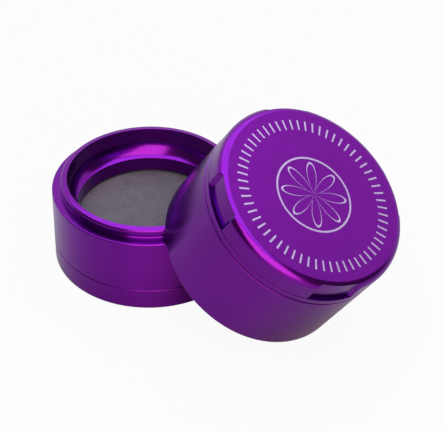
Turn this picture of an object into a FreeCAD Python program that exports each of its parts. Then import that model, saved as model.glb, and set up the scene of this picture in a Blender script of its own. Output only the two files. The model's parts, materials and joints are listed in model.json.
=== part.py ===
import FreeCAD, Part
import math
import os

# Hand grinder opened in two halves. The sieve half stands on the ground, and the chamber half leans on
# its collar. Millimetres and degrees. Origin: centre of the tray's base. +Z up, +X towards the leaning half.

# Shells
body_d = 63.0
seam_gap = 0.1
seam_round = 0.25
thread_gap = 0.25
ring_gap = 0.25

# Tray
tray_h = 7.5
tray_floor = 2.0
tray_foot_round = 0.8
tray_scoop = 3.0
tray_neck_h = 3.0
tray_neck_wall = 2.2
skirt_wall = 3.45
neck_round = 0.3

# Low-friction ring between tray and sieve chamber
tray_ring_w = 1.0
tray_ring_h = 1.1

# Sieve chamber
sieve_h = 18.35
shoulder_round = 0.4
collar_h = 3.35
shoulder_w = 2.9
collar_wall = 2.2
lip_round = 0.5
bowl_depth = 10.43
bowl_round = 4.4
ledge_round = 0.35
ledge_flat = 0.1
ledge_w = 3.0
ledge_slope = 23.0
seat_depth = 14.4
web_gap = 0.3

# Thread profile, shown as ring grooves
thread_pitch = 0.95
thread_depth = 0.4
thread_turns = 2
thread_start = 0.95
collar_thread_turns = 1
collar_thread_start = 2.2

# Sieve: gasket, two hoops, woven mesh and the ring that holds them from below
screen_gasket_t = 0.4
hoop_t = 0.6
hoop_w = 1.4
hoop_overlap = 1.7
hoop_gap = 0.35
mesh_t = 0.2
mesh_inset = 0.1
gasket_inset = 0.1
retainer_h = 1.7
retainer_wall = 1.8
spanner_slots = 2
spanner_slot_w = 3.0
spanner_slot_depth = 0.8

# Upper chamber
chamber_h = 27.35
chamber_wall = 3.9
base_round = 0.5
socket_lead = 0.4
plate_seat_wall = 2.65
chamber_ring_h = 0.8
chamber_ring_inset = 0.1
chamber_ring_gap = 0.15
socket_play = 0.05

# Grind plate
plate_gasket_t = 0.35
plate_gasket_w = 2.1
plate_gasket_set_in = 0.4
flange_t = 2.05
plate_drop = 2.25
plate_floor = 2.5
plate_gap = 0.25
pan_wall = 4.5
pan_round = 0.5
lugs = 4
lug_w = 4.0
lug_out = 1.3
lug_h = 1.65

# Lid
lid_h = 7.85
lid_top = 2.5
lid_gap = 0.1
lid_edge_round = 2.6
notches = 4
notch_angle = 28.0
notch_depth = 1.25
notch_turn = -34.3
lid_ring_w = 1.5
lid_ring_h = 1.1
lid_ring_inset = 0.3

# Teeth, drop holes and magnets
tooth_w = 2.8
tooth_l = 4.4
tooth_gap = 0.95
tooth_tip_gap = 0.4
tooth_spacing = 11.0
tooth_wall_gap = 0.5
hole_d = 4.4
hole_spacing = 9.0
magnet_d = 10.0
magnet_h = 3.0
magnet_fit = 0.05
magnet_gap = 0.5
boss_wall = 1.5
boss_round = 0.3

# Lean of the upper half
lean_angle = 33.1
lean_gap = 0.4

# Heights and radii that follow
body_r = body_d / 2
skirt_r = body_r - skirt_wall
neck_r = skirt_r - thread_gap
neck_bore_r = neck_r - tray_neck_wall
neck_top = tray_h + tray_neck_h
tray_ring_r = neck_r + ring_gap
tray_ring_rebate_r = tray_ring_r + tray_ring_w + ring_gap
sieve_bottom = tray_h + seam_gap
shoulder_z = sieve_bottom + sieve_h
collar_top = shoulder_z + collar_h
collar_r = body_r - shoulder_w
collar_bore_r = collar_r - collar_wall
sieve_bore_r = collar_bore_r - ledge_w
ledge_z = collar_top - bowl_depth
ledge_rise = ledge_w * math.tan(math.radians(ledge_slope))
seat_z = collar_top - seat_depth
web_z = neck_top + web_gap
hoop_r = sieve_bore_r + hoop_overlap
seat_bore_r = hoop_r + hoop_gap
top_hoop_z = seat_z - screen_gasket_t - hoop_t
mesh_z = top_hoop_z - mesh_t
bottom_hoop_z = mesh_z - hoop_t
retainer_z = bottom_hoop_z - retainer_h
retainer_r = seat_bore_r - thread_gap

socket_r = collar_r + thread_gap
socket_depth = collar_h + chamber_ring_h + socket_play
chamber_bore_r = body_r - chamber_wall
chamber_ring_r = chamber_bore_r + chamber_ring_inset
chamber_ring_w = socket_r - chamber_ring_gap - chamber_ring_r
flange_bottom = chamber_h + plate_gasket_t
flange_top = flange_bottom + flange_t
plate_bottom = flange_bottom - plate_drop
plate_top = plate_bottom + plate_floor
plate_seat_r = body_r - plate_seat_wall
plate_seat_z = plate_bottom - plate_gap
spigot_r = plate_seat_r - plate_gap
lug_top = chamber_h - plate_gap
lug_bottom = lug_top - lug_h
pan_r = body_r - pan_wall
lid_bottom = flange_top + lid_gap
lid_height = lid_bottom + lid_h
ceiling_z = lid_height - lid_top
lid_ring_r = pan_r + lid_ring_inset
lid_ring_rebate_r = lid_ring_r + lid_ring_w + ring_gap
lid_ring_top = flange_top + lid_ring_h
magnet_r = magnet_d / 2
boss_r = magnet_r + boss_wall
plate_magnet_top = plate_top + magnet_h
lid_magnet_bottom = plate_magnet_top + magnet_gap
tooth_step = tooth_w + tooth_gap
first_tooth_r = boss_r + tooth_gap + tooth_w / 2
tooth_rings = 1 + math.floor((pan_r - tooth_wall_gap - tooth_w / 2 - first_tooth_r) / tooth_step)

# The base edge of the upper half stands on the ground, and its socket's mouth hooks over the collar's lip.
lean = math.radians(lean_angle)
base_lift = (body_r - base_round) * math.sin(lean) + base_round * (1 - math.cos(lean))
mouth_r = socket_r + socket_lead
crossing_x = -(collar_top - base_lift) / math.sin(lean)
crossing_y = math.sqrt(mouth_r ** 2 - crossing_x ** 2)
lean_x = math.sqrt((collar_r + lean_gap) ** 2 - crossing_y ** 2) - crossing_x * math.cos(lean)

up = FreeCAD.Vector(0, 0, 1)
centre = FreeCAD.Vector(0, 0, 0)


def turned(corners, sweep=360.0, start=0.0):
    """Solid turned about Z from corners (radius, height) or (radius, height, rounding), taken in order."""
    points = [FreeCAD.Vector(corner[0], 0, corner[1]) for corner in corners]
    cuts = []
    for i, corner in enumerate(corners):
        here = points[i]
        rounding = corner[2] if len(corner) > 2 else 0
        if rounding == 0:
            cuts.append([here])
            continue
        back = (points[i - 1] - here).normalize()
        ahead = (points[(i + 1) % len(points)] - here).normalize()
        half = back.getAngle(ahead) / 2
        inward = (back + ahead).normalize()
        reach = rounding / math.tan(half)
        apex = here + inward * (rounding / math.sin(half) - rounding)
        cuts.append([here + back * reach, apex, here + ahead * reach])
    edges = []
    for i, cut in enumerate(cuts):
        if len(cut) == 3:
            edges.append(Part.Arc(*cut).toShape())
        edges.append(Part.LineSegment(cut[-1], cuts[(i + 1) % len(cuts)][0]).toShape())
    solid = Part.Face(Part.Wire(edges)).revolve(centre, up, sweep)
    solid.rotate(centre, up, start)
    return solid


def ring(inner_r, outer_r, low, high):
    """Plain ring of square section."""
    return turned([(inner_r, low), (outer_r, low), (outer_r, high), (inner_r, high)])


def grooves(radius, first, turns, inward):
    """Ring grooves of a thread in the wall at radius, cut inwards or outwards, counted down from the first."""
    side = -1 if inward else 1
    tip = radius + side * thread_depth
    mouth = radius - side * thread_depth
    cutters = []
    for turn in range(turns):
        middle = first - turn * thread_pitch
        low = middle - thread_pitch / 2
        high = middle + thread_pitch / 2
        cutters.append(turned([(tip, middle), (mouth, low), (mouth, high)]))
    return cutters


def around(shape, count, start=0.0):
    """Copies of shape, evenly spaced about Z."""
    copies = []
    for i in range(count):
        copy = shape.copy()
        copy.rotate(centre, up, start + i * 360.0 / count)
        copies.append(copy)
    return copies


def tooth_ring(index, low, high):
    """One ring of diamond teeth, counted outwards from the boss. Even rings stand, odd rings hang."""
    radius = first_tooth_r + index * tooth_step
    corners = [
        (radius - tooth_w / 2, 0),
        (radius, -tooth_l / 2),
        (radius + tooth_w / 2, 0),
        (radius, tooth_l / 2),
    ]
    outline = [FreeCAD.Vector(x, y, low) for x, y in corners]
    face = Part.Face(Part.makePolygon(outline + outline[:1]))
    tooth = face.extrude(FreeCAD.Vector(0, 0, high - low))
    return around(tooth, round(2 * math.pi * radius / tooth_spacing))


def drop_holes(index):
    """Cutters for the holes that lie under one ring of the lid's teeth."""
    radius = first_tooth_r + index * tooth_step
    place = FreeCAD.Vector(radius, 0, plate_bottom - plate_floor)
    hole = Part.makeCylinder(hole_d / 2, 3 * plate_floor, place)
    return around(hole, round(2 * math.pi * radius / hole_spacing))


def block(inner_r, outer_r, width, low, high):
    """Straight block that reaches outwards along X, centred on Y."""
    return Part.makeBox(outer_r - inner_r, width, high - low, FreeCAD.Vector(inner_r, -width / 2, low))


def tray():
    body = turned([
        (0, 0),
        (body_r, 0, tray_foot_round),
        (body_r, tray_h, seam_round),
        (neck_r, tray_h),
        (neck_r, neck_top, neck_round),
        (neck_bore_r, neck_top, neck_round),
        (neck_bore_r, tray_floor, tray_scoop),
        (0, tray_floor),
    ])
    return body.cut(grooves(neck_r, neck_top - thread_start, thread_turns, inward=True))


def sieve_chamber():
    ledge_reach = ledge_w / math.cos(math.radians(ledge_slope)) - ledge_round - ledge_flat
    bowl_corner = min(bowl_round, ledge_reach * math.tan(math.radians(45 + ledge_slope / 2)))
    rebate_top = tray_h + tray_ring_h
    body = turned([
        (body_r, sieve_bottom, seam_round),
        (body_r, shoulder_z, shoulder_round),
        (collar_r, shoulder_z),
        (collar_r, collar_top, lip_round),
        (collar_bore_r, collar_top, lip_round),
        (collar_bore_r, ledge_z + ledge_rise, bowl_corner),
        (sieve_bore_r, ledge_z, ledge_round),
        (sieve_bore_r, seat_z),
        (seat_bore_r, seat_z),
        (seat_bore_r, web_z),
        (skirt_r, web_z),
        (skirt_r, rebate_top),
        (tray_ring_rebate_r, rebate_top),
        (tray_ring_rebate_r, sieve_bottom),
    ])
    return body.cut(grooves(collar_r, collar_top - collar_thread_start, collar_thread_turns, inward=True))


def retaining_ring():
    inner_r = retainer_r - retainer_wall
    body = ring(inner_r, retainer_r, retainer_z, bottom_hoop_z)
    slot = block(inner_r - retainer_wall, retainer_r + retainer_wall, spanner_slot_w,
                 retainer_z - spanner_slot_depth, retainer_z + spanner_slot_depth)
    return body.cut(around(slot, spanner_slots))


def upper_chamber():
    body = turned([
        (socket_r, 0, socket_lead),
        (body_r, 0, base_round),
        (body_r, chamber_h, seam_round),
        (plate_seat_r, chamber_h),
        (plate_seat_r, plate_seat_z),
        (chamber_bore_r, plate_seat_z, neck_round),
        (chamber_bore_r, socket_depth),
        (socket_r, socket_depth),
    ])
    slot = block(chamber_bore_r, spigot_r + lug_out + plate_gap, lug_w + 2 * plate_gap,
                 lug_bottom - plate_gap, chamber_h + lug_h)
    first_groove = socket_depth - chamber_ring_h - thread_start
    cutters = around(slot, lugs) + grooves(socket_r, first_groove, thread_turns, inward=False)
    return body.cut(cutters)


def grind_plate():
    body = turned([
        (0, plate_bottom),
        (spigot_r, plate_bottom, neck_round),
        (spigot_r, flange_bottom),
        (body_r, flange_bottom, seam_round),
        (body_r, flange_top, seam_round),
        (pan_r, flange_top, seam_round),
        (pan_r, plate_top, pan_round),
        (boss_r, plate_top, pan_round),
        (boss_r, plate_magnet_top, boss_round),
        (0, plate_magnet_top),
    ])
    cutters = [Part.makeCylinder(magnet_r + magnet_fit, magnet_h, FreeCAD.Vector(0, 0, plate_top))]
    for index in range(1, tooth_rings, 2):
        cutters += drop_holes(index)
    lug = block(spigot_r - lug_out, spigot_r + lug_out, lug_w, lug_bottom, lug_top)
    return body.multiFuse(around(lug, lugs)).cut(cutters).removeSplitter()


def plate_teeth():
    teeth = []
    for index in range(0, tooth_rings, 2):
        teeth += tooth_ring(index, plate_top, ceiling_z - tooth_tip_gap)
    return Part.makeCompound(teeth)


def lid():
    body = turned([
        (lid_ring_rebate_r, lid_bottom),
        (body_r, lid_bottom, seam_round),
        (body_r, lid_height, lid_edge_round),
        (0, lid_height),
        (0, lid_magnet_bottom),
        (boss_r, lid_magnet_bottom, boss_round),
        (boss_r, ceiling_z, pan_round),
        (pan_r, ceiling_z, pan_round),
        (pan_r, lid_ring_top),
        (lid_ring_rebate_r, lid_ring_top),
    ])
    notch = turned([
        (body_r - notch_depth, lid_bottom - lid_h),
        (body_r + notch_depth, lid_bottom - lid_h),
        (body_r + notch_depth, lid_height + lid_h),
        (body_r - notch_depth, lid_height + lid_h),
    ], notch_angle, -notch_angle / 2)
    pocket = Part.makeCylinder(magnet_r + magnet_fit, magnet_h, FreeCAD.Vector(0, 0, lid_magnet_bottom))
    return body.cut(around(notch, notches, notch_turn) + [pocket])


def lid_teeth():
    teeth = []
    for index in range(1, tooth_rings, 2):
        teeth += tooth_ring(index, plate_top + tooth_tip_gap, ceiling_z)
    return Part.makeCompound(teeth)


standing = {
    "tray": tray(),
    "tray_slip_ring": ring(tray_ring_r, tray_ring_r + tray_ring_w, tray_h, tray_h + tray_ring_h),
    "sieve_chamber": sieve_chamber(),
    "screen_gasket": ring(sieve_bore_r + gasket_inset, hoop_r, seat_z - screen_gasket_t, seat_z),
    "screen_top_hoop": ring(hoop_r - hoop_w, hoop_r, top_hoop_z, top_hoop_z + hoop_t),
    "screen_mesh": Part.makeCylinder(hoop_r - mesh_inset, mesh_t, FreeCAD.Vector(0, 0, mesh_z)),
    "screen_bottom_hoop": ring(hoop_r - hoop_w, hoop_r, bottom_hoop_z, bottom_hoop_z + hoop_t),
    "screen_retaining_ring": retaining_ring(),
}

plate_gasket_r = body_r - plate_gasket_set_in
leaning = {
    "upper_chamber": upper_chamber(),
    "chamber_slip_ring": ring(chamber_ring_r, chamber_ring_r + chamber_ring_w,
                              socket_depth - chamber_ring_h, socket_depth),
    "plate_gasket": ring(plate_gasket_r - plate_gasket_w, plate_gasket_r, chamber_h, flange_bottom),
    "grind_plate": grind_plate(),
    "plate_teeth": plate_teeth(),
    "plate_magnet": Part.makeCylinder(magnet_r, magnet_h, FreeCAD.Vector(0, 0, plate_top)),
    "lid_slip_ring": ring(lid_ring_r, lid_ring_r + lid_ring_w, flange_top, lid_ring_top),
    "lid": lid(),
    "lid_teeth": lid_teeth(),
    "lid_magnet": Part.makeCylinder(magnet_r, magnet_h, FreeCAD.Vector(0, 0, lid_magnet_bottom)),
}
lean_turn = FreeCAD.Rotation(FreeCAD.Vector(0, 1, 0), lean_angle)
tilt = FreeCAD.Placement(FreeCAD.Vector(lean_x, 0, base_lift), lean_turn)

os.makedirs("parts", exist_ok=True)
for name, shape in standing.items():
    shape.exportStep("parts/" + name + ".step")
for name, shape in leaning.items():
    shape.Placement = tilt.multiply(shape.Placement)
    shape.exportStep("parts/" + name + ".step")
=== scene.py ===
"""Looks of a hand grinder, opened in two halves, modelled around its packed frame."""

import json
import math
from functools import lru_cache

import bmesh
import bpy
from bpy.props import FloatProperty, FloatVectorProperty, IntProperty, PointerProperty, StringProperty
from mathutils import Matrix, Quaternion, Vector


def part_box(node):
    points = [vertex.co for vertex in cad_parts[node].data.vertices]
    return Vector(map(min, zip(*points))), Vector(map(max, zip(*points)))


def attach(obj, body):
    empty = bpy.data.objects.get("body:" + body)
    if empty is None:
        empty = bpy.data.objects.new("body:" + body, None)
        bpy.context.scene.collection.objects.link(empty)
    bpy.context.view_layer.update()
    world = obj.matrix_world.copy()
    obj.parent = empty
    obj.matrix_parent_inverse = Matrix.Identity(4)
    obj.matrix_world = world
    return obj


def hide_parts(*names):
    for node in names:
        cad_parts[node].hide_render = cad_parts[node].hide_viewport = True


bl_info = {
    "name": "Hand grinder",
    "version": (1, 0, 0),
    "blender": (4, 5, 0),
    "location": "3D View > Sidebar > Grinder",
    "description": "Builds the turned shells, sieve and lid of an anodised hand grinder around its frame",
    "category": "Object",
}

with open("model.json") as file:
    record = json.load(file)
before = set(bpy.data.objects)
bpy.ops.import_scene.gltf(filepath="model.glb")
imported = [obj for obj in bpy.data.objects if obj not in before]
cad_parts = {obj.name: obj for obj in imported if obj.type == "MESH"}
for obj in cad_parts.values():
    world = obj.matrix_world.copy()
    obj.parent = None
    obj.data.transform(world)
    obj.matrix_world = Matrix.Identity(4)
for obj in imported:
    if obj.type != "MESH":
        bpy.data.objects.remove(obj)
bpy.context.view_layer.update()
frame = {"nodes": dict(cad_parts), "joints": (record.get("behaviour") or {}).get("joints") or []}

MM = 0.001
UP = Vector((0, 0, 1))
TURN = 2 * math.pi


def joint(name):
    """A joint of the frame, by name."""
    return next(entry for entry in frame["joints"] if entry["name"] == name)


# The leaning half has an upright frame of its own: its base centre is the origin and its axis is Z.
LEAN_AXIS = Vector(joint("lid_turn")["axis"]).normalized()
LEAN_PIVOT = Vector(joint("lid_turn")["pos_m"])
LEAN_ANGLE = math.atan2(LEAN_AXIS.x, LEAN_AXIS.z)


@lru_cache(maxsize=None)
def along_lean(node):
    """Lowest and highest point of a CAD node along the lean axis, counted from the lid's pivot."""
    reach = [(vertex.co - LEAN_PIVOT).dot(LEAN_AXIS) for vertex in frame["nodes"][node].data.vertices]
    return min(reach), max(reach)


LEAN_BASE = along_lean("upper_chamber")[0]
LEAN_ORIGIN = LEAN_PIVOT + LEAN_AXIS * LEAN_BASE
TO_LEAN = Matrix.Translation(LEAN_ORIGIN) @ Matrix.Rotation(LEAN_ANGLE, 4, "Y")


def lean_low(node):
    """Height of a leaning node's lower end above the leaning half's base."""
    return along_lean(node)[0] - LEAN_BASE


def lean_high(node):
    """Height of a leaning node's upper end above the leaning half's base."""
    return along_lean(node)[1] - LEAN_BASE


@lru_cache(maxsize=None)
def corners_of(node):
    """Lowest and highest corner of a CAD node's box."""
    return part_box(node)


def low(node):
    """Height of a standing node's underside."""
    return corners_of(node)[0].z


def high(node):
    """Height of a standing node's top."""
    return corners_of(node)[1].z


def radius(node):
    """Outer radius of a turned node, which shows whole along Y in both halves."""
    return corners_of(node)[1].y


def length(label, text, default):
    """A size in metres that a user can change."""
    return FloatProperty(name=label, description=text, default=default, unit="LENGTH", precision=5)


def angle(label, text, degrees):
    """An angle that a user can change."""
    return FloatProperty(name=label, description=text, default=math.radians(degrees), unit="ROTATION")


def count(label, text, default):
    """A whole number that a user can change."""
    return IntProperty(name=label, description=text, default=default, min=1)


def amount(label, text, default):
    """A plain number that a user can change."""
    return FloatProperty(name=label, description=text, default=default)


def proportion(label, text, default):
    """A part of a whole that a user can change."""
    return FloatProperty(name=label, description=text, default=default, subtype="FACTOR", min=0, max=1)


def spot(label, text, default):
    """A place in metres that a user can change."""
    return FloatVectorProperty(name=label, description=text, default=default, subtype="TRANSLATION")


def sides(label, text, default):
    """The two sides of a rectangle, in metres, that a user can change."""
    return FloatVectorProperty(name=label, description=text, default=default, size=2, unit="LENGTH")


def colour(label, text, default):
    """A colour as an sRGB hex value that a user can change."""
    return StringProperty(name=label, description=text, default=default)


class StandingSizes(bpy.types.PropertyGroup):
    """Standing half"""
    body_r: length("Body radius", "Outer radius of all shells", radius("tray"))
    seam_round: length("Seam rounding", "Rounding of the edges at a seam", 0.25 * MM)
    foot_round: length("Foot rounding", "Rounding of the tray's lower edge", 0.8 * MM)
    tray_floor: length("Tray floor", "Thickness of the tray's floor", 2.0 * MM)
    tray_scoop: length("Tray scoop", "Hollow between the tray's floor and wall", 3.0 * MM)
    neck_wall: length("Neck wall", "Wall of the tray's threaded neck", 2.2 * MM)
    neck_round: length("Neck rounding", "Rounding of a neck's edges", 0.3 * MM)
    thread_gap: length("Thread gap", "Clearance between mating threads", 0.25 * MM)
    ring_gap: length("Ring gap", "Clearance around the slip rings", 0.25 * MM)
    ring_round: length("Ring rounding", "Rounding of the thin rings' edges", 0.1 * MM)
    tray_ring_w: length("Tray ring width", "Width of the slip ring on the tray", 1.0 * MM)
    shoulder_w: length("Shoulder width", "Step from the wall in to the collar", 2.9 * MM)
    shoulder_round: length("Shoulder rounding", "Rounding of the shoulder's outer edge", 0.4 * MM)
    collar_h: length("Collar height", "Height of the threaded collar", 3.35 * MM)
    collar_wall: length("Collar wall", "Wall of the threaded collar", 2.05 * MM)
    collar_groove: length("Collar groove", "From the collar's top down to its groove", 2.65 * MM)
    groove_half: length("Groove half height", "Half the height of the collar's groove", 0.2 * MM)
    groove_depth: length("Groove depth", "Depth of the collar's groove", 0.14 * MM)
    lip_rise: length("Lip rise", "How far the lip's inner edge stands over the collar's top", 0.22 * MM)
    lip_slope: angle("Lip slope", "Fall of the lip towards its outer edge", 7.0)
    lip_round: length("Lip rounding", "Rounding of the lip's outer edge", 0.8 * MM)
    lip_edge: length("Lip edge", "Rounding of the lip's inner edge", 0.12 * MM)
    bowl_depth: length("Bowl depth", "From the collar's top down to the ledge's inner edge", 9.6 * MM)
    bowl_round: length("Bowl rounding", "Hollow between the bowl's wall and ledge", 6.4 * MM)
    ledge_w: length("Ledge width", "Width of the ledge around the sieve", 3.15 * MM)
    ledge_slope: angle("Ledge slope", "Fall of the ledge towards the sieve", 34.0)
    ledge_round: length("Ledge rounding", "Rounding of the ledge's inner edge", 0.2 * MM)
    hoop_gap: length("Hoop gap", "Clearance around the sieve's hoops", 0.35 * MM)
    hoop_w: length("Hoop width", "Width of the sieve's hoops", 1.4 * MM)
    seal_w: length("Seal width", "Width of the seal above the sieve", 1.6 * MM)
    web_gap: length("Web gap", "Clearance over the tray's neck", 0.3 * MM)
    thread_pitch: length("Thread pitch", "Spacing of the thread's grooves", 0.95 * MM)
    thread_depth: length("Thread depth", "Depth of the thread's grooves", 0.4 * MM)
    thread_turns: count("Thread turns", "Grooves of a hidden thread", 2)
    retainer_wall: length("Retainer wall", "Width of the sieve's retaining ring", 1.8 * MM)
    spanner_slots: count("Spanner slots", "Slots of the retaining ring", 2)
    slot_w: length("Spanner slot width", "Width of a spanner slot", 3.0 * MM)
    slot_depth: length("Spanner slot depth", "Depth of a spanner slot", 0.8 * MM)


class LeaningSizes(bpy.types.PropertyGroup):
    """Leaning half"""
    base_round: length("Base rounding", "Rounding of the chamber's lower edge", 0.5 * MM)
    chamber_wall: length("Chamber wall", "Wall of the upper chamber", 3.9 * MM)
    socket_lead: length("Socket lead", "Rounding at the socket's mouth", 0.4 * MM)
    ring_inset: length("Ring inset", "From the chamber's bore to its slip ring", 0.1 * MM)
    rim_round: length("Rim rounding", "Rounding of the edges of the plate's rim", 0.08 * MM)
    rim_seam: length("Rim seam", "How far the chamber's top stands back under the plate's rim", 0.2 * MM)
    rim_relief_w: length("Rim relief width", "Width of the relief in the top of the rim", 1.4 * MM)
    rim_relief: length("Rim relief", "How far the rim's top falls inwards", 0.5 * MM)
    plate_seat_wall: length("Seat wall", "Wall beside the grind plate's seat", 2.65 * MM)
    plate_gap: length("Plate gap", "Clearance around the grind plate", 0.25 * MM)
    gasket_w: length("Gasket width", "Width of the seal under the flange", 2.1 * MM)
    plate_floor: length("Plate floor", "Thickness of the grind plate's floor", 2.5 * MM)
    pan_wall: length("Pan wall", "Wall of the grind plate and the lid", 4.5 * MM)
    pan_round: length("Pan rounding", "Hollow at the pan's corners", 0.5 * MM)
    lugs: count("Lugs", "Lugs that key the plate to the chamber", 4)
    lug_w: length("Lug width", "Width of the plate's lugs", 4.0 * MM)
    lug_out: length("Lug reach", "How far the plate's lugs stand out", 1.3 * MM)
    lug_h: length("Lug height", "Height of the plate's lugs", 1.65 * MM)
    lid_top: length("Lid top", "Thickness of the lid's top", 2.5 * MM)
    lid_edge: length("Lid edge", "Rounding of the lid's top edge", 2.6 * MM)
    notches: count("Notches", "Finger notches of the lid", 4)
    notch_deep: length("Notch depth", "Depth of the lid's finger notches", 1.25 * MM)
    notch_width: angle("Notch width", "Angle of a finger notch at the lid's outer face", 29.0)
    notch_slant: angle("Notch slant", "Slant of a notch's two ends", 45.0)
    notch_turn: angle("Notch turn", "Where the first notch lies about the axis", -34.3)
    notch_edge: length("Notch edge", "Bevel of the lid's blocks beside a notch", 0.2 * MM)
    lid_ring_w: length("Lid ring width", "Width of the lid's slip ring", 1.5 * MM)
    magnet_fit: length("Magnet fit", "Clearance around a magnet", 0.05 * MM)
    magnet_round: length("Magnet rounding", "Rounding of a magnet's edges", 0.3 * MM)
    boss_wall: length("Boss wall", "Wall around a magnet", 1.5 * MM)
    boss_round: length("Boss rounding", "Rounding of a boss's edge", 0.3 * MM)
    tooth_rings: count("Tooth rings", "Rings of teeth, by turns on the plate and the lid", 5)
    tooth_w: length("Tooth width", "Size of a tooth along the radius", 2.8 * MM)
    tooth_l: length("Tooth length", "Size of a tooth across the radius", 4.4 * MM)
    tooth_gap: length("Tooth gap", "Clearance between rings of teeth", 0.95 * MM)
    tooth_spacing: length("Tooth spacing", "Spacing of the teeth along a ring", 11.0 * MM)
    tooth_edge: length("Tooth edge", "Bevel of a tooth's edges", 0.25 * MM)
    hole_r: length("Hole radius", "Radius of the plate's drop holes", 2.2 * MM)
    hole_spacing: length("Hole spacing", "Spacing of the drop holes along a ring", 9.0 * MM)


class LidMarks(bpy.types.PropertyGroup):
    """Etched marks of the lid"""
    ticks: count("Ticks", "Ticks around the lid", 60)
    tick_ring_r: length("Tick ring radius", "Middle of the ring of ticks", 24.2 * MM)
    tick_half: length("Tick half length", "Half the length of a tick", 1.7 * MM)
    tick_share: proportion("Tick share", "Part of the ring that ticks fill", 0.22)
    petals: count("Petals", "Petals of the rosette", 8)
    petal_r: length("Petal radius", "Reach of the rosette's petals", 11.0 * MM)
    petal_half: length("Petal half line", "Half the width of a petal's line", 0.36 * MM)
    rim_r: length("Rim radius", "Radius of the line around the rosette", 12.6 * MM)
    rim_half: length("Rim half line", "Half the width of the line around the rosette", 0.3 * MM)


class FinishColours(bpy.types.PropertyGroup):
    """Colours, as sRGB hex values"""
    dye: colour("Anodic dye", "Colour of the anodised shells", "7A0A9E")
    dye_deep: colour("Deep dye", "Anodised shells where the dye took deeper", "720994")
    etch: colour("Etch", "Bare metal of the lid's etched marks", "C3AFD2")
    wire: colour("Wire", "Steel wire of the sieve", "7C747B")
    wire_gap: colour("Wire gap", "Gaps between the sieve's wires", "3A353A")
    dust: colour("Dust", "Film of dust on the sieve, where it lies thick", "736B74")
    dust_thin: colour("Thin dust", "Film of dust on the sieve, where it lies thin", "4E474F")
    hoop: colour("Hoop", "Stamped steel hoops", "B4B3B1")
    hoop_dull: colour("Dull hoop", "Rolling lines of the steel hoops", "9C9B99")
    slip: colour("Slip ring", "Low-friction plastic rings", "E9E7E0")
    slip_worn: colour("Worn slip ring", "Plastic rings where metal has rubbed", "D2D0CB")
    seal: colour("Seal", "Soft silicone seals", "17161A")
    seal_dusty: colour("Dusty seal", "Silicone seals where dust clings", "252329")
    nickel: colour("Nickel", "Plating of the magnets", "CFCBC0")
    nickel_dull: colour("Dull nickel", "Plating where it has been handled", "B7B2A6")
    floor: colour("Floor", "Plain floor and backdrop", "BCBCBC")
    overhead: colour("Overhead lamp", "Cool white of the lamp above", "E9F3FF")
    front: colour("Front lamp", "Warm white of the lamp in front", "FFECDA")
    room: colour("Room", "White of the room around", "FFFFFF")


class StageSizes(bpy.types.PropertyGroup):
    """Camera, floor and light"""
    camera_place: spot("Camera place", "Where the camera stands", (0.25786, -0.34064, 0.34357))
    camera_azimuth: angle("Camera azimuth", "Turn about Z", 33.9313)
    camera_elevation: angle("Camera elevation", "Angle down from the horizon", 37.7426)
    camera_roll: angle("Camera roll", "Turn about the line of sight", 0.7174)
    lens: amount("Lens", "Focal length in millimetres", 132.78)
    sensor: amount("Sensor", "Width of the sensor in millimetres", 36.0)
    floor_r: length("Floor radius", "Radius of the round floor", 4.0)
    wall_r: length("Wall radius", "From the object out to the backdrop's wall", 1.4)
    wall_h: length("Wall height", "Height of the backdrop's wall", 1.5)
    wall_round: length("Wall rounding", "Curve between the floor and the wall", 0.4)
    wall_start: angle("Wall start", "Where the backdrop's wall begins, about Z", 47.0)
    wall_sweep: angle("Wall sweep", "How far the backdrop's wall goes round", 158.0)
    floor_white: proportion("Floor white", "Part of the floor's look that is plain white", 0.94)
    floor_mirrored: proportion("Mirrored floor white", "The same part, as metal shows it", 0.03)
    wall_white: proportion("Wall white", "Part of the backdrop's look that is plain white", 0.92)
    overhead_place: spot("Overhead place", "Middle of the lamp above", (-0.02, 0.16, 0.75))
    overhead_size: sides("Overhead size", "Sides of the lamp above", (1.13, 1.04))
    overhead_level: amount("Overhead level", "Radiance of the lamp above", 2.3)
    front_place: spot("Front place", "Middle of the lamp in front", (0.52, -0.57, 0.46))
    front_aim: spot("Front aim", "Point that the lamp in front faces", (0.03, 0.0, 0.03))
    front_size: sides("Front size", "Sides of the lamp in front", (0.88, 1.0))
    front_roll: angle("Front roll", "Turn of the lamp in front about its own axis", -15.0)
    front_level: amount("Front level", "Radiance of the lamp in front", 3.1)
    room_level: amount("Room level", "Radiance of the room around", 0.1)


# These say how finely shapes are drawn. A rounding over WIDE_ROUND has more steps.
FINE_STEPS = 6
WIDE_STEPS = 14
WIDE_ROUND = 1.0 * MM
TURN_STEPS = 360
HOLE_STEPS = 32
NOTCH_STEPS = 30
CHAMFER_STEPS = 3
DIAMOND_SIDES = 4
# Edges that bend more than this stay sharp.
SHARP_ANGLE = math.radians(33)
# Points that are closer than this become one.
MERGE = 0.001 * MM
# A cutter reaches this far past what it cuts.
CLEAR = 1.0 * MM


def outline(corners):
    """Wire of a profile in the XZ plane. A corner is a radius, a height and, if it has one, a rounding."""
    bm = bmesh.new()
    points = [bm.verts.new((corner[0], 0, corner[1])) for corner in corners]
    for here, ahead in zip(points, points[1:]):
        bm.edges.new((here, ahead))
    on_axis = corners[0][0] == 0
    if not on_axis:
        bm.edges.new((points[-1], points[0]))
    places = [point.co.copy() for point in points]
    for index, corner in enumerate(corners):
        if len(corner) < 3:
            continue
        back = places[index - 1] - places[index]
        ahead = places[(index + 1) % len(places)] - places[index]
        reach = corner[2] / math.tan(back.angle(ahead) / 2)
        steps = WIDE_STEPS if corner[2] > WIDE_ROUND else FINE_STEPS
        bmesh.ops.bevel(bm, geom=[points[index]], offset=reach, offset_type="OFFSET", affect="VERTICES",
                        segments=steps, profile=0.5, material=-1)
    return bm


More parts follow.
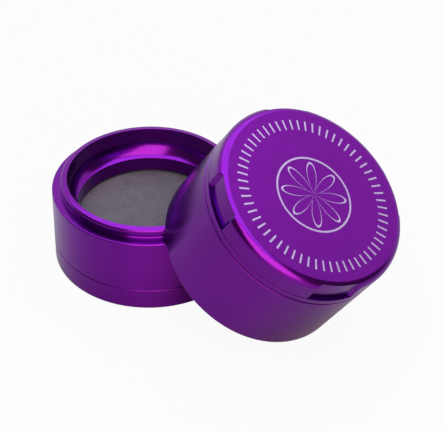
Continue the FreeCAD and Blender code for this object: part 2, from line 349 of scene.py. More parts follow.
def chamfer(bm, edges, width):
    """Rounds edges off in a few steps."""
    bmesh.ops.bevel(bm, geom=edges, offset=width, offset_type="OFFSET", affect="EDGES",
                    segments=CHAMFER_STEPS, profile=0.5, material=-1)


def swing(bm, verts, turn):
    """Turns vertices about Z."""
    bmesh.ops.rotate(bm, verts=verts, cent=(0, 0, 0), matrix=Matrix.Rotation(turn, 3, "Z"))


def spin(bm, sweep=TURN, start=0.0, steps=TURN_STEPS):
    """Turns a profile about Z and closes it."""
    swing(bm, bm.verts, start)
    bmesh.ops.spin(bm, geom=bm.verts[:] + bm.edges[:], cent=(0, 0, 0), axis=UP, angle=sweep, steps=steps,
                   use_merge=sweep == TURN, use_duplicate=False)
    bmesh.ops.remove_doubles(bm, verts=bm.verts, dist=MERGE)
    return bm


def turned(corners):
    """Closed bmesh turned about Z from a profile."""
    return spin(outline(corners))


def ring(inner_r, outer_r, bottom, top, rounding):
    """Turned ring of square section with rounded edges."""
    return turned([
        (inner_r, bottom, rounding),
        (outer_r, bottom, rounding),
        (outer_r, top, rounding),
        (inner_r, top, rounding),
    ])


def standing_ring(node, width, rounding):
    """Turned ring of this width in the place of a standing node."""
    return ring(radius(node) - width, radius(node), low(node), high(node), rounding)


def grooves(wall_r, heights, side, sizes):
    """Profile corners of a thread's grooves at these heights, half a pitch high. Side -1 cuts inwards."""
    half = sizes.thread_pitch / 4
    corners = []
    for middle in heights:
        corners += [
            (wall_r, middle - half),
            (wall_r + side * sizes.thread_depth, middle),
            (wall_r, middle + half),
        ]
    return corners


def thread(top, sizes):
    """Heights of a hidden thread's grooves below its top end, lowest first."""
    return [top - turn * sizes.thread_pitch for turn in range(sizes.thread_turns, 0, -1)]


def box(x, y, z):
    """Block between two ends along each axis."""
    bm = bmesh.new()
    bmesh.ops.create_cube(bm, size=1.0)
    bmesh.ops.scale(bm, vec=(x[1] - x[0], y[1] - y[0], z[1] - z[0]), verts=bm.verts)
    bmesh.ops.translate(bm, vec=(sum(x) / 2, sum(y) / 2, sum(z) / 2), verts=bm.verts)
    return bm


def around(bm, copies):
    """Copies everything evenly about Z."""
    original = bm.verts[:] + bm.edges[:] + bm.faces[:]
    for place in range(1, copies):
        copy = bmesh.ops.duplicate(bm, geom=original)["geom"]
        verts = [item for item in copy if isinstance(item, bmesh.types.BMVert)]
        swing(bm, verts, place * TURN / copies)
    return bm


def joined(*parts):
    """One bmesh from several."""
    whole = bmesh.new()
    for part in parts:
        mesh = bpy.data.meshes.new("joined")
        part.to_mesh(mesh)
        part.free()
        whole.from_mesh(mesh)
        bpy.data.meshes.remove(mesh)
    return whole


def as_object(name, bm):
    """Object with its place in its mesh and its faces outwards."""
    bmesh.ops.recalc_face_normals(bm, faces=bm.faces)
    mesh = bpy.data.meshes.new(name)
    bm.to_mesh(mesh)
    bm.free()
    thing = bpy.data.objects.new(name, mesh)
    bpy.context.scene.collection.objects.link(thing)
    return thing


def carved(bm, cutters, operation="DIFFERENCE"):
    """bmesh after an exact Boolean with another one."""
    thing = as_object("carved", bm)
    tool = as_object("cutters", cutters)
    cut = thing.modifiers.new("cut", "BOOLEAN")
    cut.object = tool
    cut.operation = operation
    cut.solver = "EXACT"
    bpy.context.view_layer.update()
    result = bmesh.new()
    result.from_object(thing, bpy.context.evaluated_depsgraph_get())
    for spent in (thing, tool):
        mesh = spent.data
        bpy.data.objects.remove(spent)
        bpy.data.meshes.remove(mesh)
    return result


def piece(name, bm, body, node, material, leans=False):
    """Finished piece: placed, smooth where it is round, riding on its body in place of its CAD node."""
    if leans:
        bmesh.ops.transform(bm, matrix=TO_LEAN, verts=bm.verts)
    thing = as_object(name, bm)
    thing.data.shade_smooth()
    thing.data.set_sharp_from_angle(angle=SHARP_ANGLE)
    thing.data.materials.append(material)
    flats = thing.modifiers.new("flat faces stay flat", "WEIGHTED_NORMAL")
    flats.keep_sharp = True
    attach(thing, body)
    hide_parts(node)
    return thing


def linear(hex_value):
    """Linear RGBA from an sRGB hex value."""
    channels = [int(hex_value[start:start + 2], 16) / 255 for start in (0, 2, 4)]
    return [level / 12.92 if level <= 0.04045 else ((level + 0.055) / 1.055) ** 2.4
            for level in channels] + [1.0]


def add(owner, kind, settings=None, inputs=None):
    """Adds a shader node: settings are its own attributes, and inputs are values or sockets to link."""
    tree = owner.node_tree
    node = tree.nodes.new("ShaderNode" + kind)
    for key, value in (settings or {}).items():
        setattr(node, key, value)
    for key, value in (inputs or {}).items():
        if isinstance(value, bpy.types.NodeSocket):
            tree.links.new(value, node.inputs[key])
        else:
            node.inputs[key].default_value = value
    return node


def emptied(owner):
    """A material or world whose node tree is empty."""
    owner.use_nodes = True
    owner.node_tree.nodes.clear()
    return owner


def upright(material, leans):
    """Coordinates in metres about the axis of the standing or the leaning half."""
    where = add(material, "TexCoord").outputs["Object"]
    if not leans:
        return where
    turned_back = add(material, "Mapping", {"vector_type": "TEXTURE"}, {
        "Vector": where, "Location": LEAN_ORIGIN, "Rotation": (0, LEAN_ANGLE, 0)})
    return turned_back.outputs["Vector"]


# A Mix node repeats its sockets' names, so these are their numbers.
FACTOR = 0
FLOAT_A, FLOAT_B, FLOAT_OUT = 2, 3, 0
COLOUR_A, COLOUR_B, COLOUR_OUT = 6, 7, 2
# Most values of a noise lie in this range.
NOISE_RANGE = {"From Min": 0.3, "From Max": 0.7}
MADE = {}


def finish(maker, *options):
    """Material from its maker, made at its first use."""
    key = (maker.__name__, *options)
    if key not in MADE:
        MADE[key] = maker(*options)
    return MADE[key]


def tone(name):
    """Linear colour of a finish, by the name of its property."""
    return linear(getattr(bpy.context.scene.grinder_colours, name))


def two_tone(material, pattern, tones, roughness, surface):
    """Finishes a material in two tones that follow a pattern, as its roughness does between two values."""
    base = add(material, "Mix", {"data_type": "RGBA"}, {
        FACTOR: pattern, COLOUR_A: tone(tones[0]), COLOUR_B: tone(tones[1])}).outputs[COLOUR_OUT]
    spread = add(material, "MapRange", inputs={
        "Value": pattern, **NOISE_RANGE, "To Min": roughness[0], "To Max": roughness[1]}).outputs["Result"]
    shader = add(material, "BsdfPrincipled", inputs={
        "Base Color": base, "Roughness": spread, **surface})
    add(material, "OutputMaterial", inputs={"Surface": shader.outputs["BSDF"]})
    return material


def lathe_relief(material, grain, feed):
    """Normal of a turned surface: feed marks along the tool's way, with etched grain."""
    # Feed marks are 0.12 mm apart on the real thing, and are drawn 0.4 mm apart so that they show.
    feed_mark = 0.4 * MM
    lines = add(material, "TexNoise", {"noise_dimensions": "1D"}, {
        "W": feed, "Scale": 1 / feed_mark, "Detail": 2.0, "Roughness": 0.6}).outputs["Fac"]
    relief = add(material, "Math", {"operation": "ADD"}, {0: lines, 1: grain}).outputs[0]
    relief_depth = 0.02 * MM
    return add(material, "Bump", inputs={
        "Strength": 0.06, "Distance": relief_depth, "Height": relief}).outputs["Normal"]


def anodised_aluminium(half):
    """Aluminium, turned on a lathe and dyed under a thin clear oxide layer."""
    # It gives a satin metal: reflections take the dye's colour face on and turn pale at a glancing angle.
    material = emptied(bpy.data.materials.new("anodised_aluminium_" + half))
    where = upright(material, half != "standing")
    axes = add(material, "SeparateXYZ", inputs={"Vector": where}).outputs
    flat = add(material, "CombineXYZ", inputs={"X": axes["X"], "Y": axes["Y"]}).outputs["Vector"]
    out = add(material, "VectorMath", {"operation": "LENGTH"}, {0: flat}).outputs["Value"]
    feed = add(material, "Math", {"operation": "ADD"}, {0: out, 1: axes["Z"]}).outputs[0]
    # Etched grain is 0.05 mm across on the real thing, and is drawn at 0.3 mm.
    grain_size = 0.3 * MM
    grain = add(material, "TexNoise", inputs={
        "Vector": where, "Scale": 1 / grain_size, "Detail": 3.0, "Roughness": 0.6}).outputs["Fac"]
    # The dye takes unevenly, in patches of about 9 mm.
    patch_size = 9.0 * MM
    patch = add(material, "TexNoise", inputs={
        "Vector": where, "Scale": 1 / patch_size, "Detail": 2.0}).outputs["Fac"]
    dye = add(material, "Mix", {"data_type": "RGBA"}, {
        FACTOR: patch, COLOUR_A: tone("dye"), COLOUR_B: tone("dye_deep")}).outputs[COLOUR_OUT]
    roughness = add(material, "MapRange", inputs={
        "Value": grain, **NOISE_RANGE, "To Min": 0.19, "To Max": 0.27}).outputs["Result"]
    if half == "lid":
        marks = etched_marks(material, axes, out)
        dye = add(material, "Mix", {"data_type": "RGBA"}, {
            FACTOR: marks, COLOUR_A: dye, COLOUR_B: tone("etch")}).outputs[COLOUR_OUT]
        etched_roughness = 0.45
        roughness = add(material, "Mix", {"data_type": "FLOAT"}, {
            FACTOR: marks, FLOAT_A: roughness, FLOAT_B: etched_roughness}).outputs[FLOAT_OUT]
    surface = add(material, "BsdfPrincipled", inputs={
        "Base Color": dye, "Metallic": 1.0, "Roughness": roughness,
        "Normal": lathe_relief(material, grain, feed),
        "Coat Weight": 0.13, "Coat Roughness": 0.12, "Coat IOR": 1.6})
    add(material, "OutputMaterial", inputs={"Surface": surface.outputs["BSDF"]})
    return material


def etched_marks(material, axes, out):
    """Mask of a ring of ticks and a plain rosette, burnt through the dye by a laser: pale matt metal."""
    sizes = bpy.context.scene.grinder_marks
    turn = add(material, "Math", {"operation": "ARCTAN2"}, {0: axes["Y"], 1: axes["X"]}).outputs[0]
    ticks = ring_of_ticks(material, sizes, turn, out)
    petal_turn = add(material, "Math", {"operation": "MULTIPLY"}, {
        0: turn, 1: sizes.petals / 2}).outputs[0]
    wave = add(material, "Math", {"operation": "COSINE"}, {0: petal_turn}).outputs[0]
    petal = add(material, "Math", {"operation": "ABSOLUTE"}, {0: wave}).outputs[0]
    edge = add(material, "Math", {"operation": "MULTIPLY"}, {
        0: petal, 1: sizes.petal_r}).outputs[0]
    rosette = add(material, "Math", {"operation": "COMPARE"}, {
        0: out, 1: edge, 2: sizes.petal_half}).outputs[0]
    rim = add(material, "Math", {"operation": "COMPARE"}, {
        0: out, 1: sizes.rim_r, 2: sizes.rim_half}).outputs[0]
    middle = add(material, "Math", {"operation": "MAXIMUM"}, {0: rosette, 1: rim}).outputs[0]
    marks = add(material, "Math", {"operation": "MAXIMUM"}, {0: ticks, 1: middle}).outputs[0]
    burn_depth = 0.02 * MM
    on_top = add(material, "Math", {"operation": "GREATER_THAN"}, {
        0: axes["Z"], 1: lean_high("lid") - burn_depth}).outputs[0]
    return add(material, "Math", {"operation": "MULTIPLY"}, {0: marks, 1: on_top}).outputs[0]


def ring_of_ticks(material, sizes, turn, out):
    """Mask of the ticks around the lid."""
    steps = add(material, "Math", {"operation": "MULTIPLY"}, {
        0: turn, 1: sizes.ticks / TURN}).outputs[0]
    step = add(material, "Math", {"operation": "FRACT"}, {0: steps}).outputs[0]
    half_step = 0.5
    tick = add(material, "Math", {"operation": "COMPARE"}, {
        0: step, 1: half_step, 2: sizes.tick_share * half_step}).outputs[0]
    band = add(material, "Math", {"operation": "COMPARE"}, {
        0: out, 1: sizes.tick_ring_r, 2: sizes.tick_half}).outputs[0]
    return add(material, "Math", {"operation": "MULTIPLY"}, {0: tick, 1: band}).outputs[0]


def woven_stainless_wire():
    """Fine stainless wire, woven to a plain cloth that holds a film of pale dust."""
    # It gives an even matt grey that scatters light, with faint patches of dust and little shine of metal.
    material = emptied(bpy.data.materials.new("woven_stainless_wire"))
    where = upright(material, False)
    # Wires are about 0.15 mm apart on the real cloth, and are drawn 0.5 mm apart so that they show.
    wire_spacing = 0.5 * MM
    bands_per_unit = 20.0
    fineness = TURN / (bands_per_unit * wire_spacing)
    warp = add(material, "TexWave", {"bands_direction": "X"}, {"Vector": where, "Scale": fineness})
    weft = add(material, "TexWave", {"bands_direction": "Y"}, {"Vector": where, "Scale": fineness})
    weave = add(material, "Math", {"operation": "MAXIMUM"}, {
        0: warp.outputs["Fac"], 1: weft.outputs["Fac"]}).outputs[0]
    wire = add(material, "Mix", {"data_type": "RGBA"}, {
        FACTOR: weave, COLOUR_A: tone("wire_gap"), COLOUR_B: tone("wire")}).outputs[COLOUR_OUT]
    depth = dust_depth(material, where)
    film = add(material, "Mix", {"data_type": "RGBA"}, {
        FACTOR: depth, COLOUR_A: tone("dust_thin"), COLOUR_B: tone("dust")}).outputs[COLOUR_OUT]
    cover = add(material, "MapRange", inputs={
        "Value": depth, "To Min": 0.7, "To Max": 0.95}).outputs["Result"]
    cloth = add(material, "Mix", {"data_type": "RGBA"}, {
        FACTOR: cover, COLOUR_A: wire, COLOUR_B: film}).outputs[COLOUR_OUT]
    bare = add(material, "Math", {"operation": "SUBTRACT"}, {0: 1.0, 1: cover}).outputs[0]
    wire_height = 0.1 * MM
    bump = add(material, "Bump", inputs={"Strength": 0.3, "Distance": wire_height, "Height": weave})
    surface = add(material, "BsdfPrincipled", inputs={
        "Base Color": cloth, "Metallic": bare, "Roughness": 0.6, "Diffuse Roughness": 1.0,
        "Normal": bump.outputs["Normal"]})
    add(material, "OutputMaterial", inputs={"Surface": surface.outputs["BSDF"]})
    return material


def dust_depth(material, where):
    """How thick the dust lies on the sieve, from 0 to 1."""
    # It gathers in patches of about 4 mm, with specks of 0.5 mm in them.
    patch_size = 4.0 * MM
    patch = add(material, "TexNoise", inputs={
        "Vector": where, "Scale": 1 / patch_size, "Detail": 2.0}).outputs["Fac"]
    speck_size = 0.5 * MM
    speck = add(material, "TexNoise", inputs={
        "Vector": where, "Scale": 1 / speck_size, "Detail": 3.0, "Roughness": 0.6}).outputs["Fac"]
    speck_share = 0.75
    lie = add(material, "Mix", {"data_type": "FLOAT"}, {
        FACTOR: speck_share, FLOAT_A: patch, FLOAT_B: speck}).outputs[FLOAT_OUT]
    return add(material, "MapRange", inputs={
        "Value": lie, "From Min": 0.33, "From Max": 0.67}).outputs["Result"]


def stamped_stainless_steel():
    """Rolled stainless sheet, stamped to hoops."""
    # It gives a bright grey metal with fine straight rolling lines.
    material = emptied(bpy.data.materials.new("stamped_stainless_steel"))
    # Rolling lines are 0.05 mm apart on the real sheet, and are drawn 0.25 mm apart and 10 mm long.
    line_spacing = 0.25 * MM
    line_length = 10.0 * MM
    where = add(material, "Mapping", inputs={
        "Vector": upright(material, False), "Scale": (1 / line_length, 1 / line_spacing, 1 / line_spacing)})
    lines = add(material, "TexNoise", inputs={
        "Vector": where.outputs["Vector"], "Scale": 1.0, "Detail": 2.0}).outputs["Fac"]
    return two_tone(material, lines, ("hoop", "hoop_dull"), (0.24, 0.36), {"Metallic": 1.0})


def acetal(half):
    """Acetal plastic, cut from sheet to slip rings."""
    # It gives a waxy white that is rubbed grey in patches where metal slides on it.
    material = emptied(bpy.data.materials.new("acetal_" + half))
    where = upright(material, half == "leaning")
    rub_size = 3.0 * MM
    rub = add(material, "TexNoise", inputs={
        "Vector": where, "Scale": 1 / rub_size, "Detail": 4.0}).outputs["Fac"]
    return two_tone(material, rub, ("slip", "slip_worn"), (0.4, 0.52), {"IOR": 1.48})


def silicone_rubber(half):
    """Silicone rubber, moulded to seals."""
    # It gives a dull black with pale specks of the dust that clings to it.
    material = emptied(bpy.data.materials.new("silicone_rubber_" + half))
    where = upright(material, half == "leaning")
    # Dust is 0.05 mm across on the real thing, and is drawn at 0.4 mm.
    dust_size = 0.4 * MM
    dust = add(material, "TexNoise", inputs={
        "Vector": where, "Scale": 1 / dust_size, "Detail": 3.0}).outputs["Fac"]
    return two_tone(material, dust, ("seal", "seal_dusty"), (0.5, 0.68), {"IOR": 1.41})


def nickel_plating():
    """Nickel, plated bright over a pressed magnet."""
    # It gives a warm mirror that is a little cloudy where fingers touched it.
    material = emptied(bpy.data.materials.new("nickel_plating"))
    cloud_size = 2.0 * MM
    cloud = add(material, "TexNoise", inputs={
        "Vector": upright(material, True), "Scale": 1 / cloud_size, "Detail": 3.0}).outputs["Fac"]
    return two_tone(material, cloud, ("nickel", "nickel_dull"), (0.1, 0.24), {"Metallic": 1.0})


def satin_white_laminate(place, seen, mirrored):
    """Laminate sheet of the stage: seen and mirrored are the parts of its look that are plain white."""
    # It shows white to the eye, keeps the object's shadow and shines softly towards a lamp.
    # Metal mirrors less of that white from the floor than from the backdrop.
    material = emptied(bpy.data.materials.new("satin_white_laminate_" + place))
    path = add(material, "LightPath").outputs
    bounced = add(material, "Math", {"operation": "MAXIMUM"}, {
        0: path["Is Glossy Ray"], 1: path["Is Transmission Ray"]}).outputs[0]
    in_mirror = add(material, "Math", {"operation": "MULTIPLY"}, {
        0: bounced, 1: mirrored}).outputs[0]
    white_part = add(material, "Math", {"operation": "MULTIPLY_ADD"}, {
        0: path["Is Camera Ray"], 1: seen, 2: in_mirror}).outputs[0]
    sheet = add(material, "BsdfPrincipled", inputs={
        "Base Color": tone("floor"), "Roughness": 0.35, "IOR": 1.5})
    white = add(material, "Emission", inputs={"Strength": 1.0})
    both = add(material, "MixShader", inputs={
        0: white_part, 1: sheet.outputs[0], 2: white.outputs[0]})
    add(material, "OutputMaterial", inputs={"Surface": both.outputs[0]})
    return material


def collar_r(standing):
    """Outer radius of the threaded collar."""
    return standing.body_r - standing.shoulder_w


class GRINDER_OT_tray(bpy.types.Operator):
    """Shallow tray that catches what falls through the sieve"""
    bl_idname = "grinder.tray"
    bl_label = "Tray"

    def execute(self, context):
        standing = context.scene.grinder_standing
        top = low("tray_slip_ring")
        neck_top = high("tray")
        neck_r = radius("tray_slip_ring") - standing.tray_ring_w - standing.ring_gap
        neck_bore_r = neck_r - standing.neck_wall
        shell = turned([
            (0, 0),
            (standing.body_r, 0, standing.foot_round),
            (standing.body_r, top, standing.seam_round),
            (neck_r, top),
            *grooves(neck_r, thread(neck_top, standing), -1, standing),
            (neck_r, neck_top, standing.neck_round),
            (neck_bore_r, neck_top, standing.neck_round),
            (neck_bore_r, standing.tray_floor, standing.tray_scoop),
            (0, standing.tray_floor),
        ])
        piece("tray_shell", shell, "tray", "tray", finish(anodised_aluminium, "standing"))
        return {"FINISHED"}


class GRINDER_OT_sieve_chamber(bpy.types.Operator):
    """Wall, shoulder, threaded collar and bowl of the standing half"""
    bl_idname = "grinder.sieve_chamber"
    bl_label = "Sieve chamber"

    def execute(self, context):
        standing = context.scene.grinder_standing
        bottom = low("sieve_chamber")
        top = high("sieve_chamber")
        shoulder = top - standing.collar_h
        outer_r = collar_r(standing)
        bowl_r = outer_r - standing.collar_wall
        sieve_r = bowl_r - standing.ledge_w
        lip_inner = top + standing.lip_rise
        lip_outer = lip_inner - standing.collar_wall * math.tan(standing.lip_slope)
        groove = top - standing.collar_groove
        ledge = top - standing.bowl_depth
        ledge_rise = standing.ledge_w * math.tan(standing.ledge_slope)
        seat = high("screen_gasket")
        seat_r = radius("screen_top_hoop") + standing.hoop_gap
        web = high("tray") + standing.web_gap
        rebate_r = radius("tray_slip_ring") + standing.ring_gap
        skirt_r = radius("tray_slip_ring") - standing.tray_ring_w
        rebate_top = high("tray_slip_ring")
        shell = turned([
            (standing.body_r, bottom, standing.seam_round),
            (standing.body_r, shoulder, standing.shoulder_round),
            (outer_r, shoulder),
            (outer_r, groove - standing.groove_half),
            (outer_r - standing.groove_depth, groove),
            (outer_r, groove + standing.groove_half),
            (outer_r, lip_outer, standing.lip_round),
            (bowl_r, lip_inner, standing.lip_edge),
            (bowl_r, ledge + ledge_rise, standing.bowl_round),
            (sieve_r, ledge, standing.ledge_round),
            (sieve_r, seat),
            (seat_r, seat),
            (seat_r, web),
            (skirt_r, web),
            (skirt_r, rebate_top),
            (rebate_r, rebate_top),
            (rebate_r, bottom),
        ])
        piece("sieve_chamber_shell", shell, "sieve", "sieve_chamber",
              finish(anodised_aluminium, "standing"))
        return {"FINISHED"}


class GRINDER_OT_sieve(bpy.types.Operator):
    """Woven sieve with its seal, hoops and retaining ring"""
    bl_idname = "grinder.sieve"
    bl_label = "Sieve"

    def execute(self, context):
        standing = context.scene.grinder_standing
        node = "screen_mesh"
        cloth = turned([
            (0, low(node)),
            (radius(node), low(node)),
            (radius(node), high(node)),
            (0, high(node)),
        ])
        piece("sieve_cloth", cloth, "screen", node, finish(woven_stainless_wire))
        for node in ("screen_top_hoop", "screen_bottom_hoop"):
            hoop = standing_ring(node, standing.hoop_w, standing.ring_round)
            piece(node + "_ring", hoop, "screen", node, finish(stamped_stainless_steel))
        node = "screen_gasket"
        seal = standing_ring(node, standing.seal_w, standing.ring_round)
        piece("screen_seal", seal, "screen", node, finish(silicone_rubber, "standing"))
        node = "screen_retaining_ring"
        outer_r = radius(node)
        inner_r = outer_r - standing.retainer_wall
        half = standing.slot_w / 2
        slot = box((inner_r - CLEAR, outer_r + CLEAR), (-half, half),
                   (low(node) - CLEAR, low(node) + standing.slot_depth))
        hoop = standing_ring(node, standing.retainer_wall, standing.ring_round)
        retainer = carved(hoop, around(slot, standing.spanner_slots))
        piece("retaining_ring", retainer, "retainer", node,
              finish(anodised_aluminium, "standing"))
        return {"FINISHED"}


class GRINDER_OT_slip_rings(bpy.types.Operator):
    """Low-friction rings between the turning pieces, and the seal under the flange"""
    bl_idname = "grinder.slip_rings"
    bl_label = "Slip rings and seal"

    def execute(self, context):
        standing = context.scene.grinder_standing
        leaning = context.scene.grinder_leaning
        node = "tray_slip_ring"
        hoop = standing_ring(node, standing.tray_ring_w, standing.ring_round)
        piece("tray_slip_hoop", hoop, "tray_ring", node, finish(acetal, "standing"))
        bore_r = standing.body_r - leaning.chamber_wall
        slip_rings = {
            "chamber_slip_ring": ("chamber", bore_r + leaning.ring_inset),
            "lid_slip_ring": ("lid_ring", radius("lid_slip_ring") - leaning.lid_ring_w),
        }
        for node, (body, inner_r) in slip_rings.items():
            hoop = ring(inner_r, radius(node), lean_low(node), lean_high(node), standing.ring_round)
            piece(node + "_hoop", hoop, body, node, finish(acetal, "leaning"), leans=True)
        node = "plate_gasket"
        inner_r = radius(node) - leaning.gasket_w
        bottom = lean_low(node) - leaning.rim_seam
        seal = ring(inner_r, radius(node), bottom, lean_high(node), standing.ring_round)
        piece("plate_gasket_hoop", seal, "plate", node,
              finish(silicone_rubber, "leaning"), leans=True)
        return {"FINISHED"}


class GRINDER_OT_upper_chamber(bpy.types.Operator):
    """Tall wall of the leaning half, with its socket and the grind plate's seat"""
    bl_idname = "grinder.upper_chamber"
    bl_label = "Upper chamber"

    def execute(self, context):
        standing = context.scene.grinder_standing
        leaning = context.scene.grinder_leaning
        top = lean_high("upper_chamber") - leaning.rim_seam
        socket_r = collar_r(standing) + standing.thread_gap
        socket_top = lean_high("chamber_slip_ring")
        bore_r = standing.body_r - leaning.chamber_wall
        seat_r = standing.body_r - leaning.plate_seat_wall
        seat = lean_low("grind_plate") - leaning.plate_gap
        shell = turned([
            (socket_r, 0, leaning.socket_lead),
            (standing.body_r, 0, leaning.base_round),
            (standing.body_r, top, standing.seam_round),
            (seat_r, top),
            (seat_r, seat),
            (bore_r, seat, standing.neck_round),
            (bore_r, socket_top),
            (socket_r, socket_top),
            *reversed(grooves(socket_r, thread(lean_low("chamber_slip_ring"), standing), 1, standing)),
        ])
        half = leaning.lug_w / 2 + leaning.plate_gap
        slot = box((bore_r, seat_r + leaning.lug_out), (-half, half), (seat, top + CLEAR))
        shell = carved(shell, around(slot, leaning.lugs))
        piece("upper_chamber_shell", shell, "chamber", "upper_chamber",
              finish(anodised_aluminium, "leaning"), leans=True)
        return {"FINISHED"}


def tooth_radius(leaning, index):
    """Radius of a ring of teeth, counted outwards from the boss."""
    boss_r = radius("plate_magnet") + leaning.boss_wall
    return boss_r + leaning.tooth_gap + leaning.tooth_w / 2 + index * (leaning.tooth_w + leaning.tooth_gap)


class GRINDER_OT_grind_plate(bpy.types.Operator):
    """Toothed plate with its drop holes, lugs and rim"""
    bl_idname = "grinder.grind_plate"
    bl_label = "Grind plate"

    def execute(self, context):
        standing = context.scene.grinder_standing
        leaning = context.scene.grinder_leaning
        bottom = lean_low("grind_plate")
        floor = lean_low("plate_magnet")
        boss_top = lean_high("plate_magnet")
        flange_low = lean_high("plate_gasket")
        flange_top = lean_low("lid_slip_ring")
        spigot_r = standing.body_r - leaning.plate_seat_wall - leaning.plate_gap
        pan_r = standing.body_r - leaning.pan_wall
        relief_r = standing.body_r - leaning.rim_relief_w
        magnet_r = radius("plate_magnet") + leaning.magnet_fit
        boss_r = radius("plate_magnet") + leaning.boss_wall
        plate = turned([
            (0, bottom),
            (spigot_r, bottom, standing.neck_round),
            (spigot_r, flange_low),
            (standing.body_r, flange_low, leaning.rim_round),
            (standing.body_r, flange_top, leaning.rim_round),
            (relief_r, flange_top - leaning.rim_relief),
            (relief_r, flange_top),
            (pan_r, flange_top, standing.seam_round),
            (pan_r, floor, leaning.pan_round),
            (boss_r, floor, leaning.pan_round),
            (boss_r, boss_top, leaning.boss_round),
            (magnet_r, boss_top),
            (magnet_r, floor),
            (0, floor),
        ])
        # The cutters of the holes are centred on the plate's underside and reach well through its floor.
        cutter_h = 4 * leaning.plate_floor
        holes = []
        for index in range(1, leaning.tooth_rings, 2):
            ring_r = tooth_radius(leaning, index)
            hole = bmesh.new()
            bmesh.ops.create_cone(hole, cap_ends=True, segments=HOLE_STEPS, depth=cutter_h,
                                  radius1=leaning.hole_r, radius2=leaning.hole_r)
            bmesh.ops.translate(hole, vec=(ring_r, 0, bottom), verts=hole.verts)
            holes.append(around(hole, round(TURN * ring_r / leaning.hole_spacing)))
        half = leaning.lug_w / 2
        lug = box((spigot_r - leaning.lug_out, spigot_r + leaning.lug_out), (-half, half),
                  (bottom, bottom + leaning.lug_h))
        plate = carved(carved(plate, joined(*holes)), around(lug, leaning.lugs), "UNION")
        piece("grind_plate_shell", plate, "plate", "grind_plate",
              finish(anodised_aluminium, "leaning"), leans=True)
        return {"FINISHED"}


class GRINDER_OT_teeth(bpy.types.Operator):
    """Diamond teeth that stand on the plate and hang from the lid"""
    bl_idname = "grinder.teeth"
    bl_label = "Teeth"

    def ring_of_teeth(self, leaning, index, bottom, top):
        """One ring of diamond teeth with bevelled edges."""
        tooth = bmesh.new()
        # The diamond is 1 wide and 1 high, and is then scaled to a tooth's sizes.
        bmesh.ops.create_cone(tooth, cap_ends=True, segments=DIAMOND_SIDES, depth=1.0,
                              radius1=0.5, radius2=0.5)
        bmesh.ops.scale(tooth, vec=(leaning.tooth_w, leaning.tooth_l, top - bottom), verts=tooth.verts)
        chamfer(tooth, tooth.edges[:], leaning.tooth_edge)
        ring_r = tooth_radius(leaning, index)
        bmesh.ops.translate(tooth, vec=(ring_r, 0, (top + bottom) / 2), verts=tooth.verts)
        return around(tooth, round(TURN * ring_r / leaning.tooth_spacing))

    def execute(self, context):
        leaning = context.scene.grinder_leaning
        for first, node, body in ((0, "plate_teeth", "plate"), (1, "lid_teeth", "lid")):
            rings = [self.ring_of_teeth(leaning, index, lean_low(node), lean_high(node))
                     for index in range(first, leaning.tooth_rings, 2)]
            piece(node + "_rows", joined(*rings), body, node,
                  finish(anodised_aluminium, "leaning"), leans=True)
        return {"FINISHED"}


class GRINDER_OT_magnets(bpy.types.Operator):
    """Disc magnets that hold the lid down"""
    bl_idname = "grinder.magnets"
    bl_label = "Magnets"

    def execute(self, context):
        leaning = context.scene.grinder_leaning
        for node, body in (("plate_magnet", "plate"), ("lid_magnet", "lid")):
            disc = turned([
                (0, lean_low(node)),
                (radius(node), lean_low(node), leaning.magnet_round),
                (radius(node), lean_high(node), leaning.magnet_round),
                (0, lean_high(node)),
            ])
            piece(node + "_disc", disc, body, node, finish(nickel_plating), leans=True)
        return {"FINISHED"}


